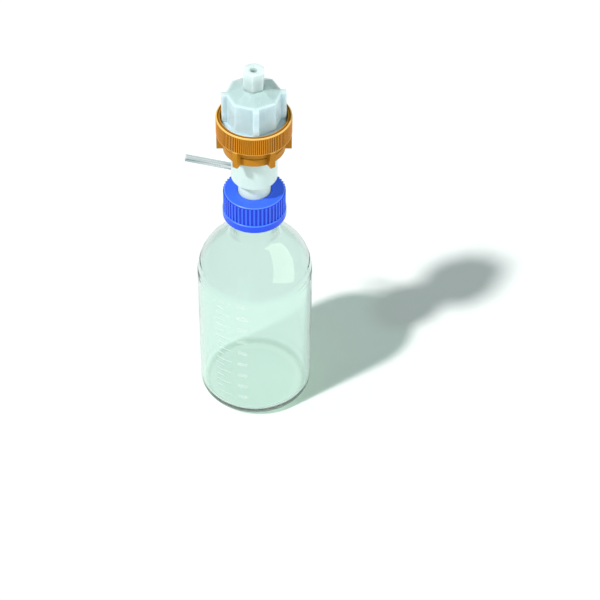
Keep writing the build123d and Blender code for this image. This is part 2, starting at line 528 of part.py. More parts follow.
def inlet_nut():
    """Hexagonal nut over the boss, with the feed tube's hole in its top."""
    pocket = FERRULE_RADIUS + 0.3
    hexagon_radius = HEX_ACROSS_FLATS / 2 / math.cos(math.pi / 6)
    with BuildPart() as body:
        with BuildSketch(Plane.XY.offset(HEX_BOTTOM)):
            RegularPolygon(hexagon_radius, 6, rotation=HEX_TURN)
        extrude(amount=HEX_HEIGHT)
    chamfered = turned(
        (0, HEX_BOTTOM), (hexagon_radius - HEX_CHAMFER / 2, HEX_BOTTOM),
        (hexagon_radius + 0.2, HEX_BOTTOM + HEX_CHAMFER), (hexagon_radius + 0.2, HEX_TOP - HEX_CHAMFER),
        (hexagon_radius - 1.2, HEX_TOP), (0, HEX_TOP))
    hollow = turned(
        (0, HEX_BOTTOM - 1), (HEX_BORE_RADIUS, HEX_BOTTOM - 1), (HEX_BORE_RADIUS, BOSS_TOP + 0.4),
        (pocket, BOSS_TOP + 0.4), (pocket, FERRULE_TOP + SEAT_GAP), (SOCKET_RADIUS, FERRULE_TOP + SEAT_GAP),
        (SOCKET_RADIUS, HEX_TOP - 0.5), (SOCKET_RADIUS + 0.5, HEX_TOP), (SOCKET_RADIUS + 0.5, HEX_TOP + 1),
        (0, HEX_TOP + 1))
    thread = ridge(HEX_BORE_RADIUS, INLET_DEPTH, INLET_BASE, INLET_CREST, INLET_PITCH,
                   BOSS_THREAD_TURNS, ROOF_TOP + BOSS_THREAD_RISE + INLET_PITCH / 2, inward=True)
    return one_solid((body.part & chamfered) - hollow + thread)


# ---------------------------------------------------------------- the whole part
NODES = {
    "bottle": bottle,
    "mouth_seal": mouth_seal,
    "slip_ring": slip_ring,
    "open_cap": open_cap,
    "lower_housing": lower_housing,
    "vacuum_tube": vacuum_tube,
    "support_disc": support_disc,
    "filter_membrane": filter_membrane,
    "chamber_oring": chamber_oring,
    "ring_nut": ring_nut,
    "upper_cup": upper_cup,
    "inlet_ferrule": inlet_ferrule,
    "inlet_nut": inlet_nut,
}


def main():
    """Build every piece and write it to parts/ as one STEP file each."""
    os.makedirs("parts", exist_ok=True)
    for name, build in NODES.items():
        shape = build()
        print(f"{name}: {shape.volume / 1000:.2f} cm3, valid {shape.is_valid}")
        export_step(shape, f"parts/{name}.step")


if __name__ == "__main__":
    main()
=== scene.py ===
import json
import logging
import math
from abc import ABC, abstractmethod
from dataclasses import dataclass
from enum import Enum
from typing import Any, Optional, Union

import bpy
from mathutils import Matrix, Vector

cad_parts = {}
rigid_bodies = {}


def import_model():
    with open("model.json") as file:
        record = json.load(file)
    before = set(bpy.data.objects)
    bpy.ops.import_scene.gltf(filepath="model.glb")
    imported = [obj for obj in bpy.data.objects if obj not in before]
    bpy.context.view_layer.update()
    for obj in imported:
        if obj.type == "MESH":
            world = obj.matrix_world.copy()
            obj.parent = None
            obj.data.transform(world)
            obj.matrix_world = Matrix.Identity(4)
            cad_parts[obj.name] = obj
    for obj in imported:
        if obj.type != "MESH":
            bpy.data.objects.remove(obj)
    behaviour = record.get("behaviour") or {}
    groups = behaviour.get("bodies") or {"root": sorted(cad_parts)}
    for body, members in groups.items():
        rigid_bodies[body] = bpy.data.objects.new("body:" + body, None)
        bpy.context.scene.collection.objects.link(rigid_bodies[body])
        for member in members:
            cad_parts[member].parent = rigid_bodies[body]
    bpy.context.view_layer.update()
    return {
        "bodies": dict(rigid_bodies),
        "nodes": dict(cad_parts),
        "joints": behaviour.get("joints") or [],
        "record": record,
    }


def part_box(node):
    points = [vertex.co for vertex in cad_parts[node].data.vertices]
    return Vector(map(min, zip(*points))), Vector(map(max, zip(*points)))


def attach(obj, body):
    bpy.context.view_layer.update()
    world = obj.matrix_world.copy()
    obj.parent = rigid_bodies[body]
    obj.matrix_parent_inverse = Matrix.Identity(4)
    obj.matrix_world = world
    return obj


# Looks of a bottle-top vacuum filtration unit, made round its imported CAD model.
# Metres; +Z is up, the origin is the middle of the bottle's foot and -Y is the front.

LOG = logging.getLogger("filtration_unit")
MM = 0.001
WHITE = (1.0, 1.0, 1.0)
SIDEWAYS = Vector((1.0, 0.0, 0.0))
Colour = tuple[float, float, float]
Span = tuple[float, float]
Number = Union[float, "Value"]


class Grain(Enum):
    """Way that a pattern runs, as its scale on each axis; a low number draws it out along that axis."""

    EVEN = (1.0, 1.0, 1.0)
    SAGGED = (1.0, 1.0, 0.6)
    WIPED = (1.0, 1.0, 0.5)
    UPRIGHT = (1.0, 1.0, 0.35)
    RIPPLED = (1.0, 1.0, 0.25)
    ALONG_X = (0.15, 1.0, 1.0)
    ALONG_Y = (1.0, 0.15, 1.0)


class Reach(Enum):
    """What a lamp's list of pieces means."""

    ONLY = "INCLUDE"
    ALL_BUT = "EXCLUDE"


# ---------------------------------------------------------------- shader nodes
class Value:
    """A number that varies over a surface; arithmetic on it adds Math nodes."""

    def __init__(self, shader: "Shader", socket: bpy.types.NodeSocket) -> None:
        """Wrap an output socket.

        Args:
            shader: the shader that the socket belongs to.
            socket: an output with one number.
        """
        self.shader = shader
        self.socket = socket

    def _math(self, operation: str, *others: Number, first: Optional[Number] = None) -> "Value":
        """Add one Math node.

        Args:
            operation: the Math node's operation.
            others: values after this one.
            first: a value that goes before this one, for reflected operators.

        Returns:
            The node's result.
        """
        values = ([first] if first is not None else []) + [self, *others]
        return self.shader.value("ShaderNodeMath", {"operation": operation}, dict(enumerate(values)))

    def __add__(self, other: Number) -> "Value":
        """Sum."""
        return self._math("ADD", other)

    __radd__ = __add__

    def __sub__(self, other: Number) -> "Value":
        """Difference."""
        return self._math("SUBTRACT", other)

    def __rsub__(self, other: Number) -> "Value":
        """Difference, with this value second."""
        return self._math("SUBTRACT", first=other)

    def __mul__(self, other: Number) -> "Value":
        """Product."""
        return self._math("MULTIPLY", other)

    __rmul__ = __mul__

    def root(self) -> "Value":
        """Square root."""
        return self._math("SQRT")

    def at_most(self, other: Number) -> "Value":
        """The smaller of the two."""
        return self._math("MINIMUM", other)

    def at_least(self, other: Number) -> "Value":
        """The larger of the two."""
        return self._math("MAXIMUM", other)

    def limited(self) -> "Value":
        """This value kept between 0 and 1."""
        return self.at_most(1.0).at_least(0.0)

    def swing(self, strength: float) -> "Value":
        """A pattern about 0.5 turned into one about 0, with this strength."""
        return (self - 0.5) * strength

    def step(self, start: float, end: float) -> "Value":
        """A smooth step.

        Args:
            start: where the step is still 0.
            end: where it reaches 1.

        Returns:
            0 before start, 1 after end.
        """
        return self.shader.value(
            "ShaderNodeMapRange",
            {"interpolation_type": "SMOOTHSTEP"},
            {"Value": self, "From Min": start, "From Max": end},
        )

    def band(self, middle: float, half: float, soft: float) -> "Value":
        """1 within half of the middle, falling to 0 over soft on each side."""
        rising = self.step(middle - half - soft, middle - half)
        return rising * (1 - self.step(middle + half, middle + half + soft))


class Shader:
    """The node tree of one material or of the world."""

    def __init__(self, tree: bpy.types.NodeTree) -> None:
        """Empty the tree.

        Args:
            tree: the tree to fill.
        """
        self.tree = tree
        tree.nodes.clear()

    def node(
        self,
        kind: str,
        settings: Optional[dict[str, Any]] = None,
        inputs: Optional[dict[Union[str, int], Any]] = None,
    ) -> bpy.types.Node:
        """Add a node.

        Args:
            kind: the node's type.
            settings: its own properties, set first.
            inputs: values or outputs for its sockets, by name or number.

        Returns:
            The new node.
        """
        node = self.tree.nodes.new(kind)
        for name, value in (settings or {}).items():
            setattr(node, name, value)
        for name, value in (inputs or {}).items():
            socket = node.inputs[name]
            if isinstance(value, Value):
                value = value.socket
            if isinstance(value, bpy.types.NodeSocket):
                self.tree.links.new(value, socket)
            elif isinstance(value, tuple) and socket.type == "RGBA":
                socket.default_value = (*value, 1.0)
            else:
                socket.default_value = value
        return node

    def result(
        self,
        kind: str,
        settings: Optional[dict[str, Any]] = None,
        inputs: Optional[dict[Union[str, int], Any]] = None,
    ) -> bpy.types.NodeSocket:
        """The first output of a new node; see node."""
        return self.node(kind, settings, inputs).outputs[0]

    def value(
        self,
        kind: str,
        settings: Optional[dict[str, Any]] = None,
        inputs: Optional[dict[Union[str, int], Any]] = None,
    ) -> Value:
        """The first output of a new node, as a number to reckon with; see node."""
        return Value(self, self.result(kind, settings, inputs))

    def principled(self, inputs: dict[str, Any]) -> bpy.types.NodeSocket:
        """A Principled surface with these inputs."""
        return self.result("ShaderNodeBsdfPrincipled", None, inputs)

    def place(self) -> bpy.types.NodeSocket:
        """Object coordinates, in metres in the model's frame."""
        return self.node("ShaderNodeTexCoord").outputs["Object"]

    def parts(self) -> tuple[Value, Value, Value]:
        """The place as three numbers."""
        split = self.node("ShaderNodeSeparateXYZ", None, {0: self.place()})
        return tuple(Value(self, output) for output in split.outputs)

    def around(self) -> tuple[Value, Value]:
        """Distance from the unit's axis, and height above the floor."""
        x, y, height = self.parts()
        return (x * x + y * y).root(), height

    def noise(self, scale: float, detail: float = 2.0, rough: float = 0.5, grain: Grain = Grain.EVEN) -> Value:
        """Smooth noise.

        Args:
            scale: cells per metre.
            detail: number of finer layers.
            rough: strength of the finer layers.
            grain: way that the pattern runs.

        Returns:
            A value about 0.5.
        """
        place = self.result("ShaderNodeMapping", None, {"Vector": self.place(), "Scale": grain.value})
        return self.value(
            "ShaderNodeTexNoise", None,
            {"Vector": place, "Scale": scale, "Detail": detail, "Roughness": rough},
        )

    def mix(self, share: Number, first: Any, second: Any) -> bpy.types.NodeSocket:
        """Mix two colours.

        Args:
            share: how much of the second.
            first: a colour or a colour output.
            second: a colour or a colour output.

        Returns:
            The mixed colour.
        """
        node = self.node("ShaderNodeMix", {"data_type": "RGBA"}, {0: share, 6: first, 7: second})
        return node.outputs[2]

    def bump(self, height: Value, depth: float) -> bpy.types.NodeSocket:
        """A bumped normal.

        Args:
            height: relief from 0 to 1.
            depth: metres that 1 stands for.

        Returns:
            The normal.
        """
        return self.result("ShaderNodeBump", None, {"Height": height, "Distance": depth, "Strength": 1.0})

    def seen(self, mirrored: float) -> tuple[Value, Value]:
        """Rays that show the surroundings and haven't met a matt surface yet.

        Args:
            mirrored: how much of the surroundings a mirror shows.

        Returns:
            The share of white for all such rays, and 1 for those through glass.
        """
        path = self.node("ShaderNodeLightPath")
        camera, glossy, through, scattered = (
            Value(self, path.outputs[name])
            for name in ("Is Camera Ray", "Is Glossy Ray", "Is Transmission Ray", "Diffuse Depth")
        )
        fresh = 1 - scattered.at_most(1.0)
        return camera.at_least(glossy * mirrored).at_least(through) * fresh, through * fresh


# ---------------------------------------------------------------- finishes
# A pattern's scale is in cells per metre, and a span holds the levels between which a patch fades in.
@dataclass(frozen=True)
class Finish(ABC):
    """A material and how it is made."""

    name: str

    @abstractmethod
    def build(self, shader: Shader) -> bpy.types.NodeSocket:
        """Make the surface.

        Args:
            shader: the shader to fill.

        Returns:
            The output with the surface.
        """

    def inside(self, shader: Shader) -> Optional[bpy.types.NodeSocket]:
        """What light meets inside the material, or None."""
        return None

    def material(self) -> bpy.types.Material:
        """Make the material, or find it if it is made already.

        Returns:
            The finished material.
        """
        name = f"{self.name}_finish"
        made = bpy.data.materials.get(name)
        if made is None:
            made = bpy.data.materials.new(name)
            made.use_nodes = True
            shader = Shader(made.node_tree)
            faces = {"Surface": self.build(shader)}
            inside = self.inside(shader)
            if inside is not None:
                faces["Volume"] = inside
            shader.node("ShaderNodeOutputMaterial", None, faces)
        return made


@dataclass(frozen=True)
class Ring:
    """A ring-shaped patch of painted light or shade, such as painted shade in a groove or a painted highlight
    on a rim.
    """

    colour: Colour
    radii: Span
    heights: Span
    soft: float = 0.2 * MM
    strength: float = 0.9

    def share(self, radius: Value, height: Value) -> Value:
        """How much of the patch shows at a place.

        Args:
            radius: distance from the unit's axis.
            height: height above the floor.

        Returns:
            0 outside the patch, up to its strength inside.
        """
        return self._within(radius, self.radii) * self._within(height, self.heights) * self.strength

    def _within(self, value: Value, limits: Span) -> Value:
        """1 between the limits, falling off softly."""
        low, high = limits
        return value.band((low + high) / 2, (high - low) / 2, self.soft)


def ringed(shader: Shader, colour: Any, rings: tuple[Ring, ...], fade: Number = 1.0) -> Any:
    """Lay ring-shaped patches of painted light and shade over a colour.

    Args:
        shader: the shader to add to.
        colour: the colour output under the patches.
        rings: the patches of painted light and shade, the lowest first.
        fade: how much of each patch is left at a place.

    Returns:
        The colour output with the patches.
    """
    if rings:
        radius, height = shader.around()
        for ring in rings:
            colour = shader.mix(ring.share(radius, height) * fade, colour, ring.colour)
    return colour


@dataclass(frozen=True)
class MouldedPlastic(Finish):
    """Injection-moulded plastic: faint flow marks, fine grain, rubbed patches and ring-shaped patches of
    painted light and shade.
    """

    colour: Colour
    shade: Colour
    roughness: float
    rubbed: float
    rings: tuple[Ring, ...] = ()
    flow: float = 60.0
    flow_strength: float = 1.5
    grain: float = 2200.0
    grain_rough: float = 0.08
    grain_depth: float = 0.02 * MM
    specks_over_grain: float = 0.35
    speck_strength: float = 0.5
    speck_relief: float = 0.6
    shaded: float = 0.35
    rub_span: Span = (0.45, 0.75)
    ring_least: float = 0.8
    ring_swing: float = 0.4
    shine: float = 0.3
    subsurface: float = 0.0
    subsurface_reach: float = 1.5 * MM
    ior: float = 1.49

    def build(self, shader: Shader) -> bpy.types.NodeSocket:
        """Make the surface.

        Args:
            shader: the shader to fill.

        Returns:
            The output with the surface.
        """
        marks = shader.noise(self.flow, 3.0, 0.55, Grain.UPRIGHT)
        specks = shader.noise(self.grain * self.specks_over_grain, 2.0, 0.6)
        share = marks.swing(self.flow_strength) + specks.swing(self.speck_strength) + self.shaded
        colour = shader.mix(share.limited(), self.colour, self.shade)
        # painted light: ring patches of painted highlight and painted shade over the moulded colour
        colour = ringed(shader, colour, self.rings, specks * self.ring_swing + self.ring_least)
        rub = shader.noise(self.flow / 2, 4.0, 0.6).step(*self.rub_span)
        grain = shader.noise(self.grain)
        return shader.principled({
            "Base Color": colour,
            "Roughness": rub * (self.rubbed - self.roughness) + self.roughness + grain.swing(self.grain_rough),
            "IOR": self.ior, "Specular IOR Level": self.shine,
            "Normal": shader.bump(grain + specks * self.speck_relief, self.grain_depth),
            "Subsurface Weight": self.subsurface, "Subsurface Radius": (1.0, 0.7, 0.5),
            "Subsurface Scale": self.subsurface_reach,
        })


@dataclass(frozen=True)
class TurnedPlastic(Finish):
    """White plastic turned on a lathe: waxy, with fine tool marks and ring-shaped patches of painted light."""

    colour: Colour
    shade: Colour
    rings: tuple[Ring, ...] = ()
    roughness: float = 0.38
    tool_marks: float = 2600.0
    taper: float = 0.8
    mark_depth: float = 0.012 * MM
    mark_strength: float = 0.35
    mark_rough: float = 0.18
    cloud_scale: float = 45.0
    cloud_strength: float = 1.6
    cloud_rough: float = 0.12
    shaded: float = 0.3
    subsurface: float = 0.35
    subsurface_reach: float = 4 * MM
    ior: float = 1.38

    def build(self, shader: Shader) -> bpy.types.NodeSocket:
        """Make the surface.

        Args:
            shader: the shader to fill.

        Returns:
            The output with the surface.
        """
        radius, height = shader.around()
        marks = shader.value(
            "ShaderNodeTexNoise", {"noise_dimensions": "1D"},
            {"W": height + radius * self.taper, "Scale": self.tool_marks, "Detail": 3.0, "Roughness": 0.6},
        )
        cloud = shader.noise(self.cloud_scale, 3.0)
        share = cloud.swing(self.cloud_strength) + marks.swing(self.mark_strength) + self.shaded
        return shader.principled({
            # painted light: ring patches over the turned colour
            "Base Color": ringed(shader, shader.mix(share.limited(), self.colour, self.shade), self.rings),
            "Roughness": marks.swing(self.mark_rough) + cloud.swing(self.cloud_rough) + self.roughness,
            "IOR": self.ior,
            "Normal": shader.bump(marks, self.mark_depth),
            "Subsurface Weight": self.subsurface, "Subsurface Radius": (0.9, 1.0, 0.95),
            "Subsurface Scale": self.subsurface_reach,
        })


@dataclass(frozen=True)
class MilkyPlastic(Finish):
    """Milky moulded plastic that lets some light in. Its colour changes with height in three zones, which on
    the cup are painted light and shade, and a painted highlight line runs round one edge.
    """

    # foot, wall and top are colours by height; on the cup they are painted light and shade
    foot: Colour
    wall: Colour
    top: Colour
    # the pale colour serves the random ripple tone and the painted highlight line
    pale: Colour
    foot_heights: Span
    top_heights: Span
    edge: float
    edge_half: float = 0.5 * MM
    edge_soft: float = 0.4 * MM
    edge_strength: float = 0.5
    cloud_scale: float = 70.0
    cloud_rise: float = 4 * MM
    cloud_rough: float = 0.15
    ripple_scale: float = 240.0
    ripple_share: float = 0.8
    ripple_depth: float = 0.03 * MM
    grain_scale: float = 1500.0
    grain_rough: float = 0.1
    roughness: float = 0.3
    subsurface: float = 0.8
    subsurface_reach: float = 9 * MM
    coat: float = 0.15
    coat_roughness: float = 0.1
    ior: float = 1.36

    def build(self, shader: Shader) -> bpy.types.NodeSocket:
        """Make the surface.

        Args:
            shader: the shader to fill.

        Returns:
            The output with the surface.
        """
        _, _, height = shader.parts()
        cloud = shader.noise(self.cloud_scale, 3.0)
        level = height + cloud.swing(self.cloud_rise)
        # painted light and shade: colour by height zone, then a painted highlight line round the edge height
        colour = shader.mix(level.step(*self.foot_heights), self.foot, self.wall)
        colour = shader.mix(level.step(*self.top_heights), colour, self.top)
        line = height.band(self.edge, self.edge_half, self.edge_soft)
        colour = shader.mix(line * self.edge_strength, colour, self.pale)
        ripple = shader.noise(self.ripple_scale, grain=Grain.RIPPLED)
        grain = shader.noise(self.grain_scale)
        relief = ripple * self.ripple_share + grain * (1 - self.ripple_share)
        return shader.principled({
            "Base Color": shader.mix((ripple - 0.5).at_least(0.0), colour, self.pale),
            "Roughness": cloud.swing(self.cloud_rough) + grain.swing(self.grain_rough) + self.roughness,
            "IOR": self.ior,
            "Normal": shader.bump(relief, self.ripple_depth),
            "Subsurface Weight": self.subsurface, "Subsurface Radius": (1.2, 1.0, 1.0),
            "Subsurface Scale": self.subsurface_reach,
            "Coat Weight": self.coat, "Coat Roughness": self.coat_roughness,
        })


@dataclass(frozen=True)
class ClearFinish(Finish):
    """A finish that light goes through, and that takes some of it on the way."""

    tint: Colour
    depth_colour: Colour
    density: float

    def inside(self, shader: Shader) -> Optional[bpy.types.NodeSocket]:
        """It takes a little more light where it is seen edge on."""
        return shader.result(
            "ShaderNodeVolumeAbsorption", None, {"Color": self.depth_colour, "Density": self.density})


@dataclass(frozen=True)
class BlownGlass(ClearFinish):
    """Bottle glass, a little wavy from blowing, with a mould ring, wiped smears and a scuffed heel.

    It lets part of a lamp's light pass, so its shadow is paler than a solid piece's.
    """

    smear: Colour
    # painted shade: a darker tint for the bottle's shoulder
    shoulder: Colour
    ring_height: float
    ring_half: float = 4.5 * MM
    ring_depth: float = 0.25 * MM
    wave_scale: float = 38.0
    wave_depth: float = 0.12 * MM
    wave_rise: float = 2 * MM
    seed_scale: float = 420.0
    seed_share: float = 0.05
    smear_scale: float = 26.0
    smear_span: Span = (0.5, 0.8)
    smear_share: float = 0.6
    smear_rough: float = 0.006
    tint_change: Span = (-6 * MM, 4 * MM)
    scuff: Colour = (0.88, 0.97, 0.93)
    scuff_heights: Span = (1.5 * MM, 5.5 * MM)
    scuff_radii: Span = (41 * MM, 45 * MM)
    heel_share: float = 0.25
    foot_share: float = 0.04
    passes: float = 0.58
    ior: float = 1.26

    def build(self, shader: Shader) -> bpy.types.NodeSocket:
        """Make the surface.

        Args:
            shader: the shader to fill.

        Returns:
            The output with the surface.
        """
        waves = shader.noise(self.wave_scale, 2.0, 0.45, Grain.SAGGED)
        seeds = shader.noise(self.seed_scale, 1.0)
        smear = shader.noise(self.smear_scale, 4.0, 0.65, Grain.WIPED).step(*self.smear_span)
        radius, height = shader.around()
        level = height + waves.swing(self.wave_rise)
        # painted shade: the tint turns to the darker shoulder tint around the ring's height
        low, high = (self.ring_height + change for change in self.tint_change)
        tint = shader.mix(level.step(low, high), self.tint, self.shoulder)
        ring = 1 - level.band(self.ring_height, 0.0, self.ring_half)
        relief = (waves + seeds * self.seed_share) * (self.wave_depth / self.ring_depth) + ring
        glass = shader.principled({
            "Base Color": shader.mix(smear * self.smear_share, tint, self.smear),
            "Roughness": smear * self.smear_rough,
            "IOR": self.ior, "Transmission Weight": 1.0,
            "Normal": shader.bump(relief, self.ring_depth),
        })
        scuffed = shader.result("ShaderNodeBsdfDiffuse", None, {"Color": self.scuff})
        share = radius.step(*self.scuff_radii) * (self.heel_share - self.foot_share) + self.foot_share
        worn = (1 - height.step(*self.scuff_heights)) * share
        surface = shader.result("ShaderNodeMixShader", None, {0: worn, 1: glass, 2: scuffed})
        passed = tuple(part * self.passes for part in self.tint)
        clear = shader.result("ShaderNodeBsdfTransparent", None, {"Color": passed})
        shadow = shader.node("ShaderNodeLightPath").outputs["Is Shadow Ray"]
        return shader.result("ShaderNodeMixShader", None, {0: shadow, 1: surface, 2: clear})


@dataclass(frozen=True)
class ClearTubing(ClearFinish):
    """Clear soft tubing, drawn lengthways, with a slight haze and darker lines along it."""

    haze: Colour
    line: Colour
    azimuth: float
    draw: float = 20.0
    line_scale: float = 430.0
    line_span: Span = (0.5, 0.6)
    line_depth: float = 0.01 * MM
    haze_scale: float = 120.0
    haze_span: Span = (0.4, 0.8)
    haze_share: float = 0.7
    haze_rough: float = 0.03
    roughness: float = 0.01
    ior: float = 1.42

    def build(self, shader: Shader) -> bpy.types.NodeSocket:
        """Make the surface.

        Args:
            shader: the shader to fill.

        Returns:
            The output with the surface.
        """
        turned = shader.result(
            "ShaderNodeMapping", {"vector_type": "TEXTURE"},
            {"Vector": shader.place(), "Rotation": (0.0, 0.0, self.azimuth), "Scale": (self.draw, 1.0, 1.0)},
        )
        lines = shader.value(
            "ShaderNodeTexNoise", None,
            {"Vector": turned, "Scale": self.line_scale, "Detail": 0.0, "Roughness": 0.5},
        )
        haze = shader.noise(self.haze_scale, 3.0, 0.6).step(*self.haze_span)
        hazy = shader.mix(haze * self.haze_share, self.tint, self.haze)
        return shader.principled({
            "Base Color": shader.mix(lines.step(*self.line_span), hazy, self.line),
            "Roughness": haze * self.haze_rough + self.roughness,
            "IOR": self.ior, "Transmission Weight": 1.0,
            "Normal": shader.bump(lines, self.line_depth),
        })


@dataclass(frozen=True)
class Silicone(Finish):
    """Grey silicone: matt, with a dusty bloom and a fine skin."""

    colour: Colour
    bloom: Colour
    bloom_share: float = 0.5
    dust_scale: float = 300.0
    dust_span: Span = (0.4, 0.75)
    dust_rough: float = 0.2
    roughness: float = 0.55
    skin_scale: float = 2600.0
    skin_depth: float = 0.02 * MM
    ior: float = 1.41

    def build(self, shader: Shader) -> bpy.types.NodeSocket:
        """Make the surface.

        Args:
            shader: the shader to fill.

        Returns:
            The output with the surface.
        """
        dust = shader.noise(self.dust_scale, 4.0, 0.65).step(*self.dust_span)
        return shader.principled({
            "Base Color": shader.mix(dust * self.bloom_share, self.colour, self.bloom),
            "Roughness": dust * self.dust_rough + self.roughness, "IOR": self.ior,
            "Normal": shader.bump(shader.noise(self.skin_scale), self.skin_depth),
            "Subsurface Weight": 0.15, "Subsurface Scale": 1 * MM,
        })


@dataclass(frozen=True)
class Membrane(Finish):
    """Filter membrane: matt white with a soft felt of fibres."""

    colour: Colour
    fibre: Colour
    fibre_scale: float = 2400.0
    fibre_span: Span = (0.4, 0.8)
    roughness: float = 0.82
    felt_rough: float = 0.1
    felt_depth: float = 0.03 * MM

    def build(self, shader: Shader) -> bpy.types.NodeSocket:
        """Make the surface.

        Args:
            shader: the shader to fill.

        Returns:
            The output with the surface.
        """
        long_way, cross_way = (
            shader.noise(self.fibre_scale, 3.0, 0.6, grain) for grain in (Grain.ALONG_Y, Grain.ALONG_X))
        felt = long_way.at_least(cross_way)
        return shader.principled({
            "Base Color": shader.mix(felt.step(*self.fibre_span), self.colour, self.fibre),
            "Roughness": felt * self.felt_rough + self.roughness,
            "Normal": shader.bump(felt, self.felt_depth),
        })


@dataclass(frozen=True)
class FiredEnamel(Finish):
    """White enamel print fired on glass, thin and a little worn."""

    colour: Colour
    worn: Colour
    cover: float = 0.5
    wear_scale: float = 900.0
    worn_span: Span = (0.4, 0.7)
    lost_span: Span = (0.5, 0.85)
    lost_share: float = 0.5
    wear_rough: float = 0.2
    roughness: float = 0.4
    print_depth: float = 0.01 * MM

    def build(self, shader: Shader) -> bpy.types.NodeSocket:
        """Make the surface.

        Args:
            shader: the shader to fill.

        Returns:
            The output with the surface.
        """
        wear = shader.noise(self.wear_scale, 3.0, 0.7)
        return shader.principled({
            "Base Color": shader.mix(wear.step(*self.worn_span), self.colour, self.worn),
            "Roughness": wear * self.wear_rough + self.roughness,
            "Alpha": (1 - wear.step(*self.lost_span) * self.lost_share) * self.cover,
            "Normal": shader.bump(wear, self.print_depth),
        })


@dataclass(frozen=True)
class StudioFloor(Finish):
    """Seamless white floor: it keeps the object's shadow near the middle and goes plain white far off."""

    colour: Colour
    lift: float
    through: float
    fade: Span

    def build(self, shader: Shader) -> bpy.types.NodeSocket:
        """Make the surface.

        Args:
            shader: the shader to fill.

        Returns:
            The output with the surface.
        """
        radius, _ = shader.around()
        seen, through = shader.seen(1.0)
        matt = shader.result("ShaderNodeBsdfDiffuse", None, {"Color": self.colour})
        glow = shader.result("ShaderNodeEmission", None, {"Color": WHITE, "Strength": seen * self.lift})
        near = shader.result("ShaderNodeAddShader", None, {0: matt, 1: glow})
        far = shader.result("ShaderNodeEmission", None, {"Color": WHITE, "Strength": 1.0})
        share = (radius.step(*self.fade) * seen).at_least(through * self.through)
        return shader.result("ShaderNodeMixShader", None, {0: share, 1: near, 2: far})


